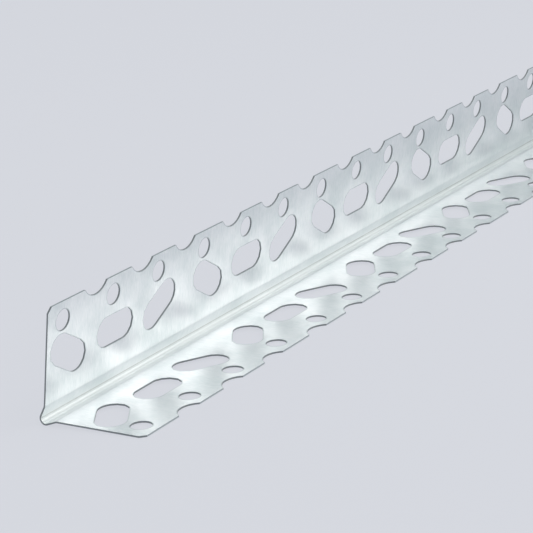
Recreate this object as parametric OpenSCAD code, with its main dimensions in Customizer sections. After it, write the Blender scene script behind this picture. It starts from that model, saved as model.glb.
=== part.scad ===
// Drywall corner bead: one length of thin galvanised sheet, punched with slots, small holes and edge
// notches, then rolled to an acute angle with a rounded nose along its corner.
// It runs along Y and lies as it would on a floor: on its nose and on the free edge of the lower flange.

/* [Stock] */
// Length of the bead, as it is sold
length = 2500; // [200:0.5:3050]
// Thickness of the sheet
sheet_t = 0.45; // [0.3:0.05:0.8]

/* [Section] */
// Width of each flange, from the outside of the nose to the free edge
flange_w = 31; // [28:0.5:45]
// Angle between the two flanges
flange_angle = 81; // [65:0.5:95]
// Outside radius of the nose
nose_r = 1.6; // [1.2:0.05:2.4]
// Distance from the centre of the nose to the bend where each flat flange begins
bend_at = 3.4; // [2.6:0.1:4.5]
// Radius of that bend, at the middle of the sheet
bend_r = 1.5; // [0.5:0.1:2.5]

/* [Slots] */
// Width of each slot
slot_w = 8.2; // [5:0.1:9]
// Length of each slot, end to end
slot_l = 15.6; // [12:0.1:17]
// Distance from the free edge to the middle of the slots
slot_edge = 15; // [14.5:0.1:16]
// Shift of the slots across the sheet: towards the nose on the lower flange, away from it on the upright one
slot_shift = 0.5; // [0:0.1:0.8]
// Places of the three slots along one repeat
slot_at = [8.7, 28.4, 48.1]; // [0:0.1:60]
// Turn of each of the three slots away from the length
slot_turn = [-31, 0, 31]; // [-45:1:45]

/* [Small holes] */
// Diameter of the small holes
hole_d = 5.6; // [3:0.1:6.4]
// Distance from the free edge to the middle of the small holes
hole_edge = 4.9; // [4:0.1:5.5]
// Places of the three small holes along one repeat
hole_at = [6, 27, 47]; // [0:0.1:60]

/* [Edge notches] */
// Width of each notch at the free edge
notch_w = 9.2; // [5:0.1:11]
// Depth of each notch
notch_depth = 2.5; // [1:0.1:3.2]
// Places of the three notches along one repeat
notch_at = [19.5, 39.5, 59.2]; // [0:0.1:60]

/* [Repeat] */
// Length of one repeat of the punched pattern
repeat = 62.5; // [59:0.5:90]

/* [Hidden] */

// Flat sides that each round punch is drawn with
$fn = 48;
// Flat strips in each half of the nose, and in each bend
nose_strips = 9;
bend_strips = 3;
// How far the punches reach past both faces of the sheet
punch_clear = 1;

// The section is drawn from the centre of the nose, with the lower flange along +X, its inside face on the
// X axis and the inside of the angle above it.
nose_mid_r = nose_r - sheet_t / 2;
flange_end = flange_w - nose_r;
bend_corner = [bend_at, -sheet_t / 2];
// The leg from the bend to the nose is tangent to the nose: where it touches, and how steep it is
touch_angle = atan2(bend_corner.y, bend_corner.x) - acos(nose_mid_r / norm(bend_corner));
leg_slope = 90 + touch_angle;
bend_centre = bend_corner + bend_r * [tan(leg_slope / 2), -1];
// Direction from the centre of the nose straight out of the corner
nose_back = flange_angle / 2 - 180;

// Lying on the floor, the lower flange slopes down from the nose to its free edge by this angle
rest_tilt = asin(nose_r / norm([flange_end, sheet_t])) - atan2(sheet_t, flange_end);
// Middle of the part's width, measured from the centre of the nose
middle_x = (flange_end * cos(rest_tilt) - nose_r) / 2;

// Circle that cuts a notch of the stated width and depth
notch_r = (pow(notch_w / 2, 2) + pow(notch_depth, 2)) / (2 * notch_depth);

// Points on an arc, in equal steps from one angle to another
function arc(centre, r, from, to, steps) =
    [for (i = [0 : steps]) let (a = from + (to - from) * i / steps) centre + r * [cos(a), sin(a)]];

// Half of the section's outline, from the back of the nose to the free edge of the lower flange,
// at a distance from the middle of the sheet: positive is the inside face
function half_face(off) = concat(
    arc([0, 0], nose_mid_r - off, nose_back, touch_angle, nose_strips),
    arc(bend_centre, bend_r + off, 90 + leg_slope, 90, bend_strips),
    [[flange_end, off - sheet_t / 2]]);

// A point of the lower half carried over to the upright half
function upright(p) = [
    p.x * cos(flange_angle) + p.y * sin(flange_angle),
    p.x * sin(flange_angle) - p.y * cos(flange_angle)];

function reversed(list) = [for (i = [len(list) - 1 : -1 : 0]) list[i]];

// One whole face of the sheet, from the free edge of the upright flange to that of the lower one
function whole_face(off) = concat(
    [for (p = reversed(half_face(off))) upright(p)],
    [for (i = [1 : len(half_face(off)) - 1]) half_face(off)[i]]);

module section() {
    polygon(concat(whole_face(sheet_t / 2), reversed(whole_face(-sheet_t / 2))));
}

// One slot, lying along Y
module slot() {
    straight = slot_l - slot_w;
    square([slot_w, straight], center = true);
    for (end = [-1, 1])
        translate([0, end * straight / 2])
            circle(d = slot_w);
}

// All that is punched out of one flange, seen from the inside: X across the flange, Y along the length.
// The sheet is punched as one long strip and cut to length, so the ends cut through the pattern.
// The slots are moved towards the free edge by the distance given.
module punching(slots_out) {
    for (n = [-1 : ceil(length / repeat)], i = [0 : 2]) {
        start = n * repeat - length / 2;
        translate([flange_end - slot_edge + slots_out, start + slot_at[i]])
            rotate(-slot_turn[i])
                slot();
        translate([flange_end - hole_edge, start + hole_at[i]])
            circle(d = hole_d);
        translate([flange_end - notch_depth + notch_r, start + notch_at[i]])
            circle(r = notch_r);
    }
}

module punches(slots_out) {
    translate([0, 0, -sheet_t - punch_clear])
        linear_extrude(sheet_t + 2 * punch_clear)
            punching(slots_out);
}

module corner_bead() {
    color("#cdd5d2")
        translate([-middle_x, 0, nose_r])
            rotate([0, rest_tilt, 0])
                difference() {
                    rotate([90, 0, 0])
                        linear_extrude(length, center = true)
                            section();
                    punches(-slot_shift);
                    mirror([sin(flange_angle / 2), 0, -cos(flange_angle / 2)])
                        punches(slot_shift);
                }
}

corner_bead();
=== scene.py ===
"""Drywall corner bead: one length of thin galvanised sheet, on a pale studio floor.

The sheet is worked out as the flat strip that goes into the rolls. A point of that strip has two
coordinates, both in millimetres: u, along the length from the near end, and w, across the sheet
from the back of the nose. Ruled patches cover one repeat of the punched pattern on one flange,
copies of them cover the strip, and rolling the strip up gives the inside and the outside face.
Walls of the sheet's thickness then close every punched, sheared and cut edge.
"""

from __future__ import annotations

import logging
import math
from dataclasses import dataclass, field
from enum import Enum

import bpy
import numpy as np
from mathutils import Matrix, Vector


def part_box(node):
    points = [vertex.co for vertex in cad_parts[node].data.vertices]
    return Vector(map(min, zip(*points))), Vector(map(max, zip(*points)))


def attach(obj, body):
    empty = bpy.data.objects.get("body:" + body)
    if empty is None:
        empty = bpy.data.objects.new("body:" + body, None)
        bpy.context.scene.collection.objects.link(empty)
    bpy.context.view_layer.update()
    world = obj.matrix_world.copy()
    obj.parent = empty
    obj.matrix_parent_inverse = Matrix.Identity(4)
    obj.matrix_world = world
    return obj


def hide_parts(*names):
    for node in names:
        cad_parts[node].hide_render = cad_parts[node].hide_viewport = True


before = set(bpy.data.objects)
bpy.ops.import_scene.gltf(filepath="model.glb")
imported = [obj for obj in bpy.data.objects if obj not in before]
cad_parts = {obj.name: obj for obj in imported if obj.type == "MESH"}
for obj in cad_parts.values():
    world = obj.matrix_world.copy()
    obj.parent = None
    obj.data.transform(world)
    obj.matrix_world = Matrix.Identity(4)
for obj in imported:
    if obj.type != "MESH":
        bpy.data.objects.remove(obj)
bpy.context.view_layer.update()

LOG = logging.getLogger("corner_bead")
NODE = "corner_bead"
MM = 0.001

# Least sine that is divided by
TINY_SINE = 1e-9

# Sockets of a Mix node, by number because they share their names
VALUE_A, VALUE_B, VALUE_OUT = 2, 3, 0
COLOUR_A, COLOUR_B, COLOUR_OUT = 6, 7, 2


class Flange(Enum):
    """The two flanges, by the sign that w has on them."""

    LOWER = 1
    UPRIGHT = -1


class Face(Enum):
    """The two faces of the sheet, by their distance from its middle in sheet thicknesses."""

    INSIDE = 0.5
    OUTSIDE = -0.5


class Layer(Enum):
    """Names of what the mesh carries for its finish."""

    STRIP = "strip"
    CUT_EDGE = "cut_edge"
    FROM_EDGE = "from_edge"


def linear_colour(code: str) -> tuple[float, float, float, float]:
    """Turns a hex sRGB colour into the linear one that shaders take, by the curve of that standard.

    Args:
        code: Six hex digits after a hash sign.

    Returns:
        Linear red, green, blue and an alpha of 1.
    """
    srgb = np.array([int(code[i:i + 2], 16) for i in (1, 3, 5)]) / 255
    linear = np.where(srgb <= 0.04045, srgb / 12.92, ((srgb + 0.055) / 1.055) ** 2.4)
    return (*linear.tolist(), 1.0)


def add_node(tree: bpy.types.NodeTree, kind: str, inputs: dict | None = None,
             **settings: object) -> bpy.types.Node:
    """Adds a node, sets it up and links it.

    Args:
        tree: The node tree that takes the node.
        kind: The node's type name.
        inputs: Socket names or numbers, each with a value or with the socket to link from.
        settings: Properties of the node itself.

    Returns:
        The new node.
    """
    node = tree.nodes.new(kind)
    for name, value in settings.items():
        setattr(node, name, value)
    for key, value in (inputs or {}).items():
        if isinstance(value, bpy.types.NodeSocket):
            tree.links.new(value, node.inputs[key])
        else:
            node.inputs[key].default_value = value
    return node


def ruled(first: np.ndarray, last: np.ndarray, steps: int) -> np.ndarray:
    """Ruled patch between two lines: row j lies j / steps of the way from the first to the last.

    Args:
        first: Points of one line, as rows of numbers.
        last: The like points of the other line.
        steps: How many rows of cells lie between them.

    Returns:
        Triangles of the patch, two for each cell, as an array of corners with the same numbers.
    """
    share = np.linspace(0, 1, steps + 1)[:, None, None]
    grid = (1 - share) * first + share * last
    a, b, c, d = grid[:-1, :-1], grid[:-1, 1:], grid[1:, 1:], grid[1:, :-1]
    halves = np.stack([np.stack([a, b, c], axis=2), np.stack([a, c, d], axis=2)])
    return halves.reshape(-1, 3, first.shape[-1])


def line(u: np.ndarray, w: np.ndarray | float) -> np.ndarray:
    """Stacks u and w, of which w may be one number, into rows of points."""
    return np.stack(np.broadcast_arrays(u, w), axis=-1)


def with_distance(points: np.ndarray, distance: np.ndarray | float) -> np.ndarray:
    """Adds to rows of u and w a third number, the distance to the nearest punched outline."""
    return np.column_stack([points, np.broadcast_to(distance, len(points))])


def around(outline: np.ndarray, border: np.ndarray) -> np.ndarray:
    """Patch of straight lines from a punched outline to the border of its cell.

    Args:
        outline: Points of the outline, as rows of u and w.
        border: The like points of the border.

    Returns:
        Triangles with u, w and the distance to the outline.
    """
    reach = np.linalg.norm(border - outline, axis=1)
    return ruled(with_distance(outline, 0.0), with_distance(border, reach), 1)


def rim(foot: tuple[float, float], head: tuple[float, float], band: tuple[float, float],
        columns: int, rows: int) -> np.ndarray:
    """Border of a four-sided cell of the strip, once round, in equal steps along each side.

    Args:
        foot: Where the cell starts and ends in u, on its side towards the nose.
        head: Where it starts and ends in u, on its side towards the free edge.
        band: Values of w of those two sides.
        columns: Steps along the length.
        rows: Steps across the strip.

    Returns:
        Points from the start of the foot, first along the length, and back to that start.
    """
    corners = np.array([(foot[0], band[0]), (foot[1], band[0]),
                        (head[1], band[1]), (head[0], band[1])])
    turns = zip(corners, np.roll(corners, -1, axis=0), (columns, rows, columns, rows))
    sides = [np.linspace(a, b, steps + 1)[:-1] for a, b, steps in turns]
    return np.concatenate([*sides, corners[:1]])


@dataclass(frozen=True)
class Section:
    """The rolled section: a rounded nose, two legs that leave it at a tangent, and flat flanges.

    It is drawn from the centre of the nose with the inside face of the lower flange on the x axis.
    Each leg runs to a bend, after which its flange goes straight. Sizes are in millimetres and
    degrees.
    """

    flange_w: float = 31.0
    flange_angle: float = 81.0
    sheet_t: float = 0.45
    nose_r: float = 1.6
    bend_at: float = 3.4
    bend_r: float = 1.5
    nose_strips: int = 9
    bend_strips: int = 4
    bend_margin: float = 0.25

    @property
    def mid_r(self) -> float:
        """Radius of the nose at the middle of the sheet."""
        return self.nose_r - self.sheet_t / 2

    @property
    def flange_end(self) -> float:
        """Distance from the centre of the nose to the free edge."""
        return self.flange_w - self.nose_r

    @property
    def nose_back(self) -> float:
        """Direction from the centre of the nose straight out of the corner, in radians."""
        return math.radians(self.flange_angle / 2 - 180)

    @property
    def touch(self) -> float:
        """Direction from the centre of the nose to where the lower leg touches it, in radians."""
        x, z = self.bend_at, -self.sheet_t / 2
        return math.atan2(z, x) - math.acos(self.mid_r / math.hypot(x, z))

    @property
    def leg_slope(self) -> float:
        """Angle from the lower flange to its leg, in radians."""
        return math.pi / 2 + self.touch

    @property
    def breaks(self) -> tuple[float, float, float]:
        """Where the strip changes from nose to leg, from leg to bend and from bend to flange.

        Returns:
            Values of w where the nose, the leg and the bend end.
        """
        nose = self.mid_r * (self.touch - self.nose_back)
        to_corner = math.sqrt(self.bend_at**2 + (self.sheet_t / 2) ** 2 - self.mid_r**2)
        leg = nose + to_corner - self.bend_r * math.tan(self.leg_slope / 2)
        return nose, leg, leg + self.bend_r * self.leg_slope

    @property
    def flat_start(self) -> float:
        """Distance from the centre of the nose to where the flat flange begins."""
        return self.bend_at + self.bend_r * math.tan(self.leg_slope / 2)

    @property
    def stations(self) -> np.ndarray:
        """Lengthwise lines of the mesh from the back of the nose to the flat flange.

        Returns:
            Their values of w: even steps on the nose and on the bend, then one on the flange.
        """
        nose, leg, bend = self.breaks
        on_nose = np.linspace(0, nose, self.nose_strips + 1)
        on_bend = np.linspace(leg, bend, self.bend_strips + 1)
        return np.concatenate([on_nose, on_bend, [bend + self.bend_margin]])

    @property
    def rest_tilt(self) -> float:
        """Slope of the lower flange when nose and free edge lie on the floor, in radians."""
        reach = math.hypot(self.flange_end, self.sheet_t)
        return math.asin(self.nose_r / reach) - math.atan2(self.sheet_t, self.flange_end)

    def strip_w(self, across: float) -> float:
        """Value of w at a distance from the centre of the nose along the flat flange."""
        return self.breaks[2] + across - self.flat_start

    def roll(self, w: np.ndarray, face: Face) -> np.ndarray:
        """Rolls the strip up: carries each w to its place in the section.

        On the nose, w turns into an angle round its centre. On the leg it runs along the tangent,
        on the bend it turns the other way round the bend's centre, and after that it runs along
        the flange. A face lies half the sheet's thickness to one side of that path. Negative w is
        the same path mirrored in the corner's bisector. The section is then tilted to lie on the
        floor.

        Args:
            w: Distance across the strip from the back of the nose.
            face: Which face of the sheet.

        Returns:
            Rows of x and z above the floor, with x from the middle of the section's width.
        """
        off = face.value * self.sheet_t
        nose, leg, bend = self.breaks
        size = np.abs(w)
        turn = self.nose_back + size / self.mid_r
        on_nose = (self.mid_r - off) * np.stack([np.cos(turn), np.sin(turn)])

        slope = self.leg_slope
        start = self.mid_r * np.array([math.cos(self.touch), math.sin(self.touch)])
        ahead = np.array([math.cos(slope), math.sin(slope)])
        inward = np.array([-math.sin(slope), math.cos(slope)])
        on_leg = (start + off * inward)[:, None] + ahead[:, None] * (size - nose)

        centre = np.array([self.flat_start, -self.sheet_t / 2 - self.bend_r])
        angle = math.pi / 2 + slope - (size - leg) / self.bend_r
        round_bend = (self.bend_r + off) * np.stack([np.cos(angle), np.sin(angle)])
        on_bend = centre[:, None] + round_bend

        depth = np.full_like(size, off - self.sheet_t / 2)
        on_flat = np.stack([self.flat_start + size - bend, depth])
        x, z = np.select([size <= nose, size <= leg, size <= bend],
                         [on_nose, on_leg, on_bend], on_flat)

        opening = math.radians(self.flange_angle)
        upright = np.sign(w) == Flange.UPRIGHT.value
        mirrored_x = x * math.cos(opening) + z * math.sin(opening)
        mirrored_z = x * math.sin(opening) - z * math.cos(opening)
        x, z = np.where(upright, mirrored_x, x), np.where(upright, mirrored_z, z)

        c, s = math.cos(self.rest_tilt), math.sin(self.rest_tilt)
        middle = (self.flange_end * c - self.nose_r) / 2
        return np.stack([x * c + z * s - middle, z * c - x * s + self.nose_r], axis=-1)


@dataclass(frozen=True)
class HoleCell:
    """Ends of the cell of a small hole: in columns at its foot, and in u at the free edge."""

    foot: tuple[int, int]
    head: tuple[float, float]


@dataclass(frozen=True)
class Punching:
    """What is punched out of each flange, in millimetres and degrees, and the patches round it.

    Columns are equal steps along one repeat. Patches meet on whole columns, so their borders share
    their points.
    """

    section: Section
    repeat: float = 62.5
    slot_w: float = 8.2
    slot_l: float = 15.6
    slot_edge: float = 15.0
    slot_shift: float = 0.5
    slot_at: tuple[float, ...] = (8.7, 28.4, 48.1)
    slot_turn: tuple[float, ...] = (-31.0, 0.0, 31.0)
    hole_d: float = 5.6
    hole_edge: float = 4.9
    hole_at: tuple[float, ...] = (6.0, 27.0, 47.0)
    notch_w: float = 9.2
    notch_depth: float = 2.5
    notch_at: tuple[float, ...] = (19.5, 39.5, 59.2)
    columns: int = 60
    slot_rows: int = 5
    edge_rows: int = 4
    nose_columns: int = 2
    cell_margin: float = 0.25

    @property
    def column(self) -> float:
        """Length of one column."""
        return self.repeat / self.columns

    @property
    def spine(self) -> float:
        """Half the length of the straight line that a slot is drawn round."""
        return (self.slot_l - self.slot_w) / 2

    @property
    def notch_r(self) -> float:
        """Radius of the punch that cuts a notch of the stated width and depth."""
        return ((self.notch_w / 2) ** 2 + self.notch_depth**2) / (2 * self.notch_depth)

    @property
    def edge_w(self) -> float:
        """Value of w at the free edge."""
        return self.section.strip_w(self.section.flange_end)

    @property
    def band(self) -> tuple[float, float]:
        """The band that the slots lie in, clear of the bend below and of the small holes above.

        Returns:
            Values of w of its two sides.
        """
        lean = math.radians(max(np.abs(self.slot_turn)))
        reach = self.spine * math.sin(lean) + self.slot_w / 2 + abs(self.slot_shift)
        middle = self.edge_w - self.slot_edge
        holes = self.edge_w - self.hole_edge - self.hole_d / 2
        return (self.section.stations[-1] + middle - reach) / 2, (middle + reach + holes) / 2

    def slot_middle(self, side: Flange) -> float:
        """Size of w at the middle of the slots of one flange."""
        return self.edge_w - self.slot_edge - side.value * self.slot_shift

    def column_between(self, before: float, after: float) -> int:
        """Number of the column nearest to the middle between two places in u."""
        return round((before + after) / 2 / self.column)

    def slot_bounds(self) -> list[int]:
        """Borders between the cells of the three slots: halfway between one slot and the next.

        Returns:
            Columns where the cells start and end.
        """
        lean = np.radians(self.slot_turn)
        half = self.spine * np.cos(lean) + self.slot_w / 2
        ends = np.array(self.slot_at) + half
        starts = np.array(self.slot_at) - half
        inner = [self.column_between(end, start) for end, start in zip(ends, starts[1:])]
        return [0, *inner, self.columns]

    def hole_cell(self, index: int) -> HoleCell:
        """Cell of one small hole: halfway to the notches beside it, but clear of all three.

        Args:
            index: Which of the three small holes.

        Returns:
            Its columns at the foot and its ends at the free edge.
        """
        last_repeat = self.repeat if index == 0 else 0.0
        before = self.notch_at[index - 1] + self.notch_w / 2 - last_repeat
        after = self.notch_at[index] - self.notch_w / 2
        left = self.hole_at[index] - self.hole_d / 2
        right = self.hole_at[index] + self.hole_d / 2
        clear = 2 * self.cell_margin
        first = min(self.column_between(before, left), math.floor((left - clear) / self.column))
        last = max(self.column_between(right, after), math.ceil((right + clear) / self.column))
        start = max((before + left) / 2, before + self.cell_margin)
        stop = min((right + after) / 2, after - self.cell_margin)
        return HoleCell((first, last), (start, stop))

    def slot_patch(self, index: int, side: Flange) -> np.ndarray:
        """Patch round one slot: straight lines from its outline to the border of its cell.

        A slot is all that lies within half its width of a straight spine. Seen from its middle at
        an angle from the spine, its outline is at half the width over the sine where that still
        lies beside the spine, and otherwise on the round end, at the spine's share plus the root
        of the rest.

        Args:
            index: Which of the three slots.
            side: Which flange it is in.

        Returns:
            Triangles with u, w and the distance to the slot.
        """
        bounds = self.slot_bounds()
        left, right = bounds[index], bounds[index + 1]
        ends = (left * self.column, right * self.column)
        border = rim(ends, ends, self.band, right - left, self.slot_rows)
        middle = np.array([self.slot_at[index], self.slot_middle(side)])
        away = border - middle
        angle = np.arctan2(away[:, 1], away[:, 0])
        lean = angle - math.radians(self.slot_turn[index])
        sine, cosine = np.abs(np.sin(lean)), np.abs(np.cos(lean))
        beside = self.slot_w / 2 / np.maximum(sine, TINY_SINE)
        root = np.sqrt(np.maximum((self.slot_w / 2) ** 2 - (self.spine * sine) ** 2, 0))
        radius = np.where(beside * cosine <= self.spine, beside, self.spine * cosine + root)
        return around(middle + radius[:, None] * line(np.cos(angle), np.sin(angle)), border)

    def hole_patch(self, index: int) -> np.ndarray:
        """Patch round one small hole: straight lines from its circle to the border of its cell.

        The points of the circle are evenly spaced, and turned to face those of the border.

        Args:
            index: Which of the three small holes.

        Returns:
            Triangles with u, w and the distance to the hole.
        """
        cell = self.hole_cell(index)
        first, last = cell.foot
        foot = (first * self.column, last * self.column)
        border = rim(foot, cell.head, (self.band[1], self.edge_w), last - first, self.edge_rows)
        middle = np.array([self.hole_at[index], self.edge_w - self.hole_edge])
        away = border - middle
        seen = np.unwrap(np.arctan2(away[:, 1], away[:, 0]))
        even = np.linspace(0, 2 * np.pi, len(border))
        angle = even + np.mean((seen - even)[:-1])
        return around(middle + self.hole_d / 2 * line(np.cos(angle), np.sin(angle)), border)

    def notch_patch(self, before: HoleCell, after: HoleCell, centre: float) -> np.ndarray:
        """Patch below one notch: straight lines from the slots' band to the edge and to the notch.

        The notch is an arc of its punch: at an angle from the arc's middle, it is as much
        shallower than the notch is deep as the punch has curved away.

        Args:
            before: Cell that the patch starts beside.
            after: Cell that it ends beside.
            centre: Place of the notch in u.

        Returns:
            Triangles with u, w and the distance to the notch.
        """
        left, right = before.foot[1], after.foot[0]
        start, stop = before.head[1], after.head[0]
        corners = np.clip([centre - self.notch_w / 2, centre + self.notch_w / 2], start, stop)
        edge_before = np.full(int(start < corners[0]), start)
        edge_after = np.full(int(stop > corners[1]), stop)
        on_arc = right - left + 1 - len(edge_before) - len(edge_after)
        angle = np.linspace(*np.arcsin((corners - centre) / self.notch_r), on_arc)
        depth = self.notch_depth - self.notch_r * (1 - np.cos(angle))
        u = np.concatenate([edge_before, centre + self.notch_r * np.sin(angle), edge_after])
        cut = np.concatenate([np.zeros_like(edge_before), depth, np.zeros_like(edge_after)])
        gap = np.concatenate([corners[0] - edge_before, np.zeros(on_arc), edge_after - corners[1]])
        top = line(u, self.edge_w - cut)
        foot = line(np.linspace(left, right, right - left + 1) * self.column, self.band[1])
        reach = np.linalg.norm(top - foot, axis=1)
        return ruled(with_distance(foot, reach), with_distance(top, gap), self.edge_rows)

    def nose_patches(self) -> list[np.ndarray]:
        """Plain strips from nose to slots: of wide columns first, then a fan to the narrow ones.

        Returns:
            Triangles of each strip with u, w and a distance that stands for far from any outline.
        """
        wide = np.linspace(0, self.repeat, self.nose_columns + 1)
        stations = self.section.stations
        lines = [with_distance(line(wide, w), self.repeat) for w in stations]
        strips = [ruled(a, b, 1) for a, b in zip(lines[:-1], lines[1:])]
        narrow = np.arange(self.columns + 1)
        each = self.columns // self.nose_columns
        nearest = np.floor(narrow / each + 0.5) * each
        inner = with_distance(line(nearest * self.column, stations[-1]), self.repeat)
        outer = with_distance(line(narrow * self.column, self.band[0]), self.repeat)
        return [*strips, ruled(inner, outer, 1)]

    def one_repeat(self, side: Flange) -> np.ndarray:
        """All patches of one repeat of one flange.

        Args:
            side: Which flange.

        Returns:
            Triangles with u, w and the distance to the nearest punched outline.
        """
        patches = self.nose_patches()
        patches += [self.slot_patch(i, side) for i in range(len(self.slot_at))]
        patches += [self.hole_patch(i) for i in range(len(self.hole_at))]
        first = HoleCell((0, 0), (0.0, 0.0))
        last = HoleCell((self.columns, self.columns), (self.repeat, self.repeat))
        cells = [first, *(self.hole_cell(i) for i in range(len(self.hole_at))), last]
        centres = (self.notch_at[-1] - self.repeat, *self.notch_at)
        beside = zip(cells, cells[1:], centres)
        patches += [self.notch_patch(before, after, centre) for before, after, centre in beside]
        return np.concatenate(patches) * [1, side.value, 1]


@dataclass(frozen=True)
class GalvanisedSteel:
    """Hot-dip galvanised steel sheet, skin-passed between rolls.

    A pale zinc skin with a cool cast. Satin, so it shows what is near it as soft patches. Faint
    clouds come from the zinc, faint lines across the strip from the rolls, and the punched edges
    are bare darker steel.
    """

    bright: str = "#f6f8f9"
    clouded: str = "#e2e8e9"
    # Grey of the worked nose, which also serves as painted shade in its channel.
    worked_and_shade_colour: str = "#d3d9d9"
    # Painted shade of the crease line where the nose meets the upright leg.
    crease_shade_colour: str = "#cfd1ce"
    # Painted shade of the rolled-over rims round the openings.
    rim_shade_colour: str = "#bcc4c5"
    bare_steel: str = "#a2a6a8"
    roughness: float = 0.3
    roughness_clouded: float = 0.38
    worked_roughness: float = 0.45
    edge_roughness: float = 0.7
    slit_bareness: float = 0.2
    cloud_mm: float = 16.0
    cloud_layers: float = 3.0
    cloud_breakup: float = 0.55
    cloud_from: float = 0.42
    cloud_to: float = 0.72
    cloud_least: float = 0.2
    line_layers: float = 2.0
    line_breakup: float = 0.5
    line_from: float = 0.3
    line_to: float = 0.7
    roll_line_mm: float = 1.1
    roll_line_length_mm: float = 14.0
    roll_line_swing: float = 0.15
    hairline_mm: float = 0.34
    hairline_length_mm: float = 2.0
    hairline_swing: float = 0.28
    fade_mm: float = 0.5
    legs_mm: float = 5.0
    legs_mottle: float = 0.72
    nose_mm: float = 1.0
    nose_rub: float = 0.75
    draw_line_mm: float = 0.3
    draw_line_length_mm: float = 45.0
    draw_line_swing: float = 0.25
    crease_at_mm: float = 1.25
    crease_half_mm: float = 0.3
    rim_shade_mm: float = 0.35
    wave_mm: float = 22.0
    wave_layers: float = 1.0
    wave_breakup: float = 0.4
    wave_height_mm: float = 0.05
    groove_mm: float = 0.02

    def lines(self, tree: bpy.types.NodeTree, strip: bpy.types.NodeSocket,
              cell_mm: tuple[float, float], swing: float) -> bpy.types.NodeSocket:
        """Adds drawn-out noise: soft streaks of one size.

        Args:
            tree: The node tree that takes the nodes.
            strip: The strip's coordinates.
            cell_mm: Size of a streak along and across the strip.
            swing: How far the value goes up and down from zero.

        Returns:
            The socket with that value.
        """
        along, across = (1 / (size * MM) for size in cell_mm)
        stretched = add_node(tree, "ShaderNodeMapping", {
            "Vector": strip, "Scale": (along, across, 1.0)}, vector_type="POINT")
        noise = add_node(tree, "ShaderNodeTexNoise", {
            "Vector": stretched.outputs["Vector"], "Scale": 1.0, "Detail": self.line_layers,
            "Roughness": self.line_breakup})
        spread = add_node(tree, "ShaderNodeMapRange", {
            "Value": noise.outputs["Fac"], "From Min": self.line_from, "From Max": self.line_to,
            "To Min": -swing, "To Max": swing})
        return spread.outputs["Result"]

    def material(self) -> bpy.types.Material:
        """Builds the material on the strip's own coordinates, which are in metres.

        Returns:
            The new material.
        """
        made = bpy.data.materials.new("galvanised_steel_skin_passed")
        made.use_nodes = True
        tree = made.node_tree
        tree.nodes.clear()
        strip = add_node(tree, "ShaderNodeUVMap", uv_map=Layer.STRIP.value).outputs["UV"]
        cut = add_node(
            tree, "ShaderNodeAttribute", attribute_name=Layer.CUT_EDGE.value).outputs["Fac"]
        from_edge = add_node(
            tree, "ShaderNodeAttribute", attribute_name=Layer.FROM_EDGE.value).outputs["Fac"]

        # Zinc clouds: soft patches, a shade greyer and a little duller than the rest.
        cloud = add_node(tree, "ShaderNodeTexNoise", {
            "Vector": strip, "Scale": 1 / (self.cloud_mm * MM), "Detail": self.cloud_layers,
            "Roughness": self.cloud_breakup})
        patch = add_node(tree, "ShaderNodeMapRange", {
            "Value": cloud.outputs["Fac"], "From Min": self.cloud_from, "From Max": self.cloud_to,
            "To Min": self.cloud_least})

        # Roll lines: short and straight across the strip, which make the skin look brushed. There
        # are broad faint ones, and hairlines that are drawn coarser than the real ones, to show.
        broad = self.lines(
            tree, strip, (self.roll_line_mm, self.roll_line_length_mm), self.roll_line_swing)
        fine = self.lines(
            tree, strip, (self.hairline_mm, self.hairline_length_mm), self.hairline_swing)
        shade = add_node(tree, "ShaderNodeMath", {0: broad, 1: fine}, operation="ADD")
        mottle = add_node(tree, "ShaderNodeMath", {
            0: patch.outputs["Result"], 1: shade.outputs["Value"]}, operation="ADD", use_clamp=True)

        # Nose and legs: the forming rolls have pressed the clouds and lines fainter there.
        across = add_node(tree, "ShaderNodeSeparateXYZ", {"Vector": strip}).outputs["Y"]
        size = add_node(tree, "ShaderNodeMath", {0: across}, operation="ABSOLUTE")
        on_flat = add_node(tree, "ShaderNodeMapRange", {
            "Value": size.outputs["Value"], "From Min": (self.legs_mm - self.fade_mm) * MM,
            "From Max": (self.legs_mm + self.fade_mm) * MM, "To Min": self.legs_mottle})
        amount = add_node(tree, "ShaderNodeMath", {
            0: mottle.outputs["Value"], 1: on_flat.outputs["Result"]}, operation="MULTIPLY")
        zinc = add_node(tree, "ShaderNodeMix", {
            "Factor": amount.outputs["Value"], COLOUR_A: linear_colour(self.bright),
            COLOUR_B: linear_colour(self.clouded)}, data_type="RGBA")

        # Worked zinc and painted shade: along the nose the rolls have rubbed the skin greyer, in
        # long fine lines, which are drawn coarser than the real ones too. The same grey also serves
        # as painted shade in the channel of the nose.
        on_nose = add_node(tree, "ShaderNodeMapRange", {
            "Value": size.outputs["Value"], "From Min": (self.nose_mm - self.fade_mm) * MM,
            "From Max": (self.nose_mm + self.fade_mm) * MM,
            "To Min": 1.0, "To Max": 0.0}).outputs["Result"]
        streak = self.lines(
            tree, strip, (self.draw_line_length_mm, self.draw_line_mm), self.draw_line_swing)
        depth = add_node(tree, "ShaderNodeMath", {0: streak, 1: self.nose_rub}, operation="ADD")
        rubbed_and_shaded = add_node(tree, "ShaderNodeMath", {
            0: on_nose, 1: depth.outputs["Value"]}, operation="MULTIPLY")
        skin = add_node(tree, "ShaderNodeMix", {
            "Factor": rubbed_and_shaded.outputs["Value"], COLOUR_A: zinc.outputs[COLOUR_OUT],
            COLOUR_B: linear_colour(self.worked_and_shade_colour)}, data_type="RGBA")

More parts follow.
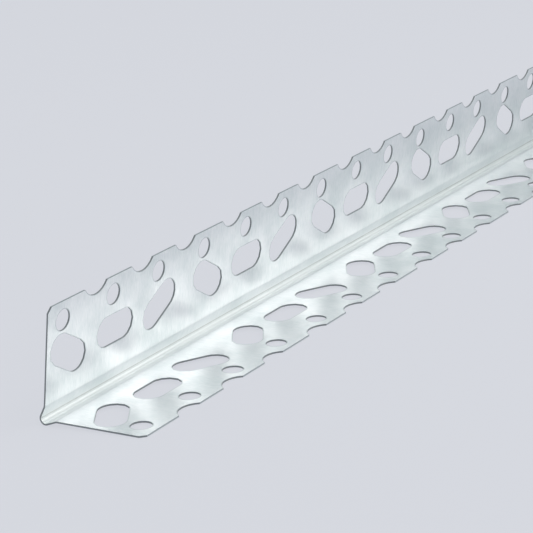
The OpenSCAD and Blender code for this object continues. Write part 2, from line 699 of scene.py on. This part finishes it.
        # Painted crease shade: a dark hairline painted where the nose meets the leg of the upright
        # flange, as the shade of a crease that the mesh does not have.
        beside = add_node(tree, "ShaderNodeMath", {
            0: across, 1: self.crease_at_mm * MM}, operation="ADD")
        away = add_node(tree, "ShaderNodeMath", {
            0: beside.outputs["Value"]}, operation="ABSOLUTE")
        crease_shade_mask = add_node(tree, "ShaderNodeMapRange", {
            "Value": away.outputs["Value"], "From Max": self.crease_half_mm * MM,
            "To Min": 1.0, "To Max": 0.0})
        crease_shaded = add_node(tree, "ShaderNodeMix", {
            "Factor": crease_shade_mask.outputs["Result"], COLOUR_A: skin.outputs[COLOUR_OUT],
            COLOUR_B: linear_colour(self.crease_shade_colour)}, data_type="RGBA")

        # Painted rim shade: the punch draws the skin down round each opening, and a grey outline
        # painted round it stands in for the darker reflection of that rounded rim, which the mesh
        # lacks. The cut itself is bare steel, darker and duller.
        rolled = add_node(tree, "ShaderNodeMapRange", {
            "Value": from_edge, "From Max": self.rim_shade_mm * MM, "To Min": 1.0, "To Max": 0.0})
        rim_shaded = add_node(tree, "ShaderNodeMix", {
            "Factor": rolled.outputs["Result"], COLOUR_A: crease_shaded.outputs[COLOUR_OUT],
            COLOUR_B: linear_colour(self.rim_shade_colour)}, data_type="RGBA")
        colour = add_node(tree, "ShaderNodeMix", {
            "Factor": cut, COLOUR_A: rim_shaded.outputs[COLOUR_OUT],
            COLOUR_B: linear_colour(self.bare_steel)}, data_type="RGBA")

        # Gloss: satin, a little duller in the clouds, more so on the rubbed nose and most on cuts.
        dullness = add_node(tree, "ShaderNodeMapRange", {
            "Value": amount.outputs["Value"], "To Min": self.roughness,
            "To Max": self.roughness_clouded})
        satin = add_node(tree, "ShaderNodeMix", {
            "Factor": on_nose, VALUE_A: dullness.outputs["Result"],
            VALUE_B: self.worked_roughness}, data_type="FLOAT")
        rough = add_node(tree, "ShaderNodeMix", {
            "Factor": cut, VALUE_A: satin.outputs[VALUE_OUT],
            VALUE_B: self.edge_roughness}, data_type="FLOAT")

        # Waves left by the rolls, which bend the soft reflections, and grooves along the nose,
        # which split its highlight into lines.
        wave = add_node(tree, "ShaderNodeTexNoise", {
            "Vector": strip, "Scale": 1 / (self.wave_mm * MM), "Detail": self.wave_layers,
            "Roughness": self.wave_breakup})
        swell = add_node(tree, "ShaderNodeMath", {
            0: wave.outputs["Fac"], 1: self.wave_height_mm}, operation="MULTIPLY")
        groove = add_node(tree, "ShaderNodeMath", {0: on_nose, 1: streak}, operation="MULTIPLY")
        height = add_node(tree, "ShaderNodeMath", {
            0: groove.outputs["Value"], 1: self.groove_mm, 2: swell.outputs["Value"]},
            operation="MULTIPLY_ADD")
        bump = add_node(tree, "ShaderNodeBump", {
            "Height": height.outputs["Value"], "Strength": 1.0, "Distance": MM})
        shader = add_node(tree, "ShaderNodeBsdfPrincipled", {
            "Base Color": colour.outputs[COLOUR_OUT], "Roughness": rough.outputs[VALUE_OUT],
            "Metallic": 1.0, "Normal": bump.outputs["Normal"]})
        add_node(tree, "ShaderNodeOutputMaterial", {"Surface": shader.outputs["BSDF"]})
        return made


@dataclass
class CornerBead:
    """The bead itself, as one closed mesh that stands for the solid of the same place and size."""

    section: Section = field(default_factory=Section)
    punching: Punching = field(default_factory=lambda: Punching(Section()))
    finish: GalvanisedSteel = field(default_factory=GalvanisedSteel)
    name: str = "galvanised_corner_bead"
    weld_mm: float = 1e-5
    sharp_deg: float = 40.0

    def strip(self, length: float) -> tuple[np.ndarray, np.ndarray, np.ndarray]:
        """The punched strip, still flat: copies of one repeat on both flanges and along the length.

        The copies are welded where their points are the same.

        Args:
            length: Length of the bead in millimetres, a whole number of repeats.

        Returns:
            Points with u and w, triangles that all turn the same way, and for each of their
            corners the distance to the nearest punched outline.
        """
        starts = np.arange(round(length / self.punching.repeat)) * self.punching.repeat
        one = np.concatenate([self.punching.one_repeat(side) for side in Flange])
        moves = with_distance(line(starts, 0.0), 0.0)
        corners = (one[None] + moves[:, None, None, :]).reshape(-1, 3)
        keys = np.round(corners[:, :2] / self.weld_mm).astype(np.int64)
        _, first, index = np.unique(keys, axis=0, return_index=True, return_inverse=True)
        points = corners[first, :2]
        triangles, distance = index.reshape(-1, 3), corners[:, 2].reshape(-1, 3)
        a, b, c = (points[triangles[:, k]] for k in range(3))
        area = (b - a)[:, 0] * (c - a)[:, 1] - (b - a)[:, 1] * (c - a)[:, 0]
        turned = (area > 0)[:, None]
        triangles = np.where(turned, triangles[:, ::-1], triangles)
        distance = np.where(turned, distance[:, ::-1], distance)
        whole = (triangles != np.roll(triangles, 1, axis=1)).all(axis=1)
        return points, triangles[whole], distance[whole]

    def walls(self, triangles: np.ndarray, count: int) -> np.ndarray:
        """Walls through the thickness of the sheet along every edge of one triangle only.

        Args:
            triangles: Triangles of the inside face.
            count: Number of points in each face, by which a point's partner on the outside face
                is numbered.

        Returns:
            Four-cornered walls.
        """
        edges = np.concatenate([triangles[:, [0, 1]], triangles[:, [1, 2]], triangles[:, [2, 0]]])
        keys = np.sort(edges, axis=1)
        _, first, uses = np.unique(keys, axis=0, return_index=True, return_counts=True)
        a, b = edges[first[uses == 1]].T
        return np.stack([b, a, a + count, b + count], axis=1)

    def build(self) -> bpy.types.Object:
        """Rolls the strip up, closes it and makes the object, in metres and in the row's own frame.

        Returns:
            The bead.
        """
        low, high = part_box(NODE)
        length = (high.y - low.y) / MM
        flat, triangles, distance = self.strip(length)
        count = len(flat)
        rolled = [self.section.roll(flat[:, 1], face) for face in Face]
        along = flat[:, 0] - length / 2
        places = [np.column_stack([xz[:, 0], along, xz[:, 1]]) for xz in rolled]
        points = np.concatenate(places) * MM
        skins = np.concatenate([triangles, triangles[:, ::-1] + count])
        walls = self.walls(triangles, count)
        mesh = bpy.data.meshes.new(self.name)
        mesh.from_pydata(points, [], [*skins.tolist(), *walls.tolist()])
        both = np.concatenate([distance, distance[:, ::-1]])
        self.mark(mesh, np.concatenate([flat, flat]), both, walls)
        piece = bpy.data.objects.new(self.name, mesh)
        bpy.context.scene.collection.objects.link(piece)
        return piece

    def mark(self, mesh: bpy.types.Mesh, flat: np.ndarray, distance: np.ndarray,
             walls: np.ndarray) -> None:
        """Gives the mesh its strip coordinates in metres, its cut edges, its distances for the
        painted rim shade and its sharp edges.

        A wall counts as slit when all of it lies at the strip's greatest w, and as punched or
        sheared otherwise.

        Args:
            mesh: The closed mesh, its two faces first and then its walls.
            flat: The u and w of each point.
            distance: How far each corner of the two faces is from the nearest punched outline.
            walls: Points of the polygons that are cut edges.
        """
        corner_point = np.empty(len(mesh.loops), dtype=np.int32)
        mesh.loops.foreach_get("vertex_index", corner_point)
        layer = mesh.uv_layers.new(name=Layer.STRIP.value)
        layer.uv.foreach_set("vector", (flat[corner_point] * MM).ravel())
        reach = np.abs(flat[:, 1])
        slit = np.isclose(reach[walls], reach.max()).all(axis=1)
        bare = np.where(slit, self.finish.slit_bareness, 1.0)
        cut = mesh.attributes.new(Layer.CUT_EDGE.value, "FLOAT", "FACE")
        cut.data.foreach_set("value", np.concatenate([np.zeros(len(distance)), bare]))
        away = mesh.attributes.new(Layer.FROM_EDGE.value, "FLOAT", "CORNER")
        on_all = np.concatenate([distance.ravel(), np.zeros(walls.size)])
        away.data.foreach_set("value", on_all * MM)
        mesh.shade_smooth()
        mesh.set_sharp_from_angle(angle=math.radians(self.sharp_deg))
        mesh.validate()

    def dress(self, piece: bpy.types.Object) -> None:
        """Gives the bead its finish and ties it to the frame.

        Args:
            piece: The bead.
        """
        piece.data.materials.append(self.finish.material())
        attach(piece, "root")
        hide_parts(NODE)


@dataclass(frozen=True)
class Softbox:
    """One soft lamp: a lit panel that looks at a point of the bead.

    Sizes are in metres, and places are measured from the floor under the middle of the near end.
    """

    name: str
    place: tuple[float, float, float]
    aim: tuple[float, float, float]
    size: tuple[float, float]
    watts: float
    spread_deg: float
    colour: str = "#fffaf6"

    def hang(self, near_end: float) -> None:
        """Adds the lamp to the scene.

        Args:
            near_end: Where the bead's near end is along Y.
        """
        data = bpy.data.lights.new(self.name, "AREA")
        data.shape = "RECTANGLE"
        data.size, data.size_y = self.size
        data.energy = self.watts
        data.color = linear_colour(self.colour)[:3]
        data.spread = math.radians(self.spread_deg)
        place, aim = (Vector((x, near_end + y, z)) for x, y, z in (self.place, self.aim))
        lamp = bpy.data.objects.new(self.name, data)
        lamp.location = place
        lamp.rotation_euler = (aim - place).to_track_quat("-Z", "Y").to_euler()
        lamp.visible_camera = False
        bpy.context.scene.collection.objects.link(lamp)


@dataclass
class Studio:
    """Pale floor, even soft light and the camera. Sizes are in metres where no unit is named."""

    near_end: float
    floor_colour: str = "#dbdde4"
    floor_side: float = 60.0
    floor_glow: float = 0.8
    room_colour: str = "#edfaff"
    world_strength: float = 0.45
    lamps: tuple[Softbox, ...] = (
        Softbox("softbox_right", place=(0.53, 0.455, 0.272), aim=(0.083, -0.008, 0.13),
                size=(0.75, 0.44), watts=0.705, spread_deg=114.0),
        Softbox("softbox_above", place=(0.3, 0.6, 2.2), aim=(0.0, 0.7, 0.0),
                size=(2.8, 2.8), watts=21.0, spread_deg=180.0),
    )
    camera_offset: tuple[float, float, float] = (0.28873, -0.35717, 0.16803)
    heading_deg: float = 123.219
    pitch_deg: float = -16.043
    roll_deg: float = -5.85
    focal_mm: float = 136.584
    sensor_mm: float = 36.0

    def lay_floor(self) -> None:
        """Lays the floor: matt, with most of its tone as plain glow, so its shadows stay light."""
        half = self.floor_side / 2
        corners = [(-half, -half, 0), (half, -half, 0), (half, half, 0), (-half, half, 0)]
        mesh = bpy.data.meshes.new("studio_floor")
        mesh.from_pydata(corners, [], [(0, 1, 2, 3)])
        floor = bpy.data.objects.new("studio_floor", mesh)
        bpy.context.scene.collection.objects.link(floor)
        mesh.materials.append(self.paper())

    def paper(self) -> bpy.types.Material:
        """Builds the floor's material: matt pale paper that also glows where it is seen directly.

        Returns:
            The new material.
        """
        made = bpy.data.materials.new("matt_pale_paper")
        made.use_nodes = True
        tree = made.node_tree
        tree.nodes.clear()
        colour = linear_colour(self.floor_colour)
        matt = add_node(tree, "ShaderNodeBsdfDiffuse", {"Color": colour})
        glow = add_node(tree, "ShaderNodeEmission", {"Color": colour, "Strength": 1.0})
        share = add_node(tree, "ShaderNodeMath", {
            0: self.seen_directly(tree), 1: self.floor_glow}, operation="MULTIPLY")
        mixed = add_node(tree, "ShaderNodeMixShader", {
            0: share.outputs["Value"], 1: matt.outputs["BSDF"], 2: glow.outputs["Emission"]})
        add_node(tree, "ShaderNodeOutputMaterial", {"Surface": mixed.outputs["Shader"]})
        return made

    def seen_directly(self, tree: bpy.types.NodeTree) -> bpy.types.NodeSocket:
        """Adds nodes that give 1 to a ray from the camera, from a shiny surface or through glass.

        Args:
            tree: The node tree that takes them.

        Returns:
            The socket with that value, which is 0 for every other ray.
        """
        path = add_node(tree, "ShaderNodeLightPath").outputs
        gloss = add_node(tree, "ShaderNodeMath", {
            0: path["Is Camera Ray"], 1: path["Is Glossy Ray"]}, operation="MAXIMUM")
        either = add_node(tree, "ShaderNodeMath", {
            0: gloss.outputs["Value"], 1: path["Is Transmission Ray"]}, operation="MAXIMUM")
        return either.outputs["Value"]

    def light(self) -> None:
        """Sets the even light of the room and hangs the lamps."""
        world = bpy.data.worlds.new("studio_room")
        world.use_nodes = True
        tree = world.node_tree
        tree.nodes.clear()
        room = add_node(tree, "ShaderNodeBackground", {
            "Color": linear_colour(self.room_colour), "Strength": self.world_strength})
        add_node(tree, "ShaderNodeOutputWorld", {"Surface": room.outputs["Background"]})
        bpy.context.scene.world = world
        for lamp in self.lamps:
            lamp.hang(self.near_end)

    def set_camera(self) -> None:
        """Places the camera beside the near end, looking along the bead and a little down."""
        data = bpy.data.cameras.new("camera")
        data.sensor_width = self.sensor_mm
        data.lens = self.focal_mm
        heading = math.radians(self.heading_deg)
        pitch = math.radians(self.pitch_deg)
        roll = math.radians(self.roll_deg)
        level = Vector((math.cos(heading), math.sin(heading), 0.0))
        ahead = level * math.cos(pitch) + Vector((0, 0, math.sin(pitch)))
        side = level.cross(Vector((0, 0, 1)))
        lift = side.cross(ahead)
        right = side * math.cos(roll) + lift * math.sin(roll)
        up = lift * math.cos(roll) - side * math.sin(roll)
        camera = bpy.data.objects.new("camera", data)
        turn = Matrix((right, up, -ahead)).transposed().to_4x4()
        place = Vector((0.0, self.near_end, 0.0)) + Vector(self.camera_offset)
        camera.matrix_world = Matrix.Translation(place) @ turn
        bpy.context.scene.collection.objects.link(camera)
        bpy.context.scene.camera = camera

    def set_view(self) -> None:
        """Shows colours as they are written."""
        bpy.context.scene.view_settings.view_transform = "Standard"


def main() -> None:
    """Builds the bead, then the studio round it."""
    logging.basicConfig(level=logging.INFO, format="%(name)s: %(message)s")
    bead = CornerBead()
    piece = bead.build()
    bead.dress(piece)
    LOG.info("%s has %d polygons", piece.name, len(piece.data.polygons))

    studio = Studio(near_end=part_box(NODE)[0].y)
    studio.lay_floor()
    studio.light()
    studio.set_camera()
    studio.set_view()
    LOG.info("studio is set")


if __name__ == "__main__":
    main()
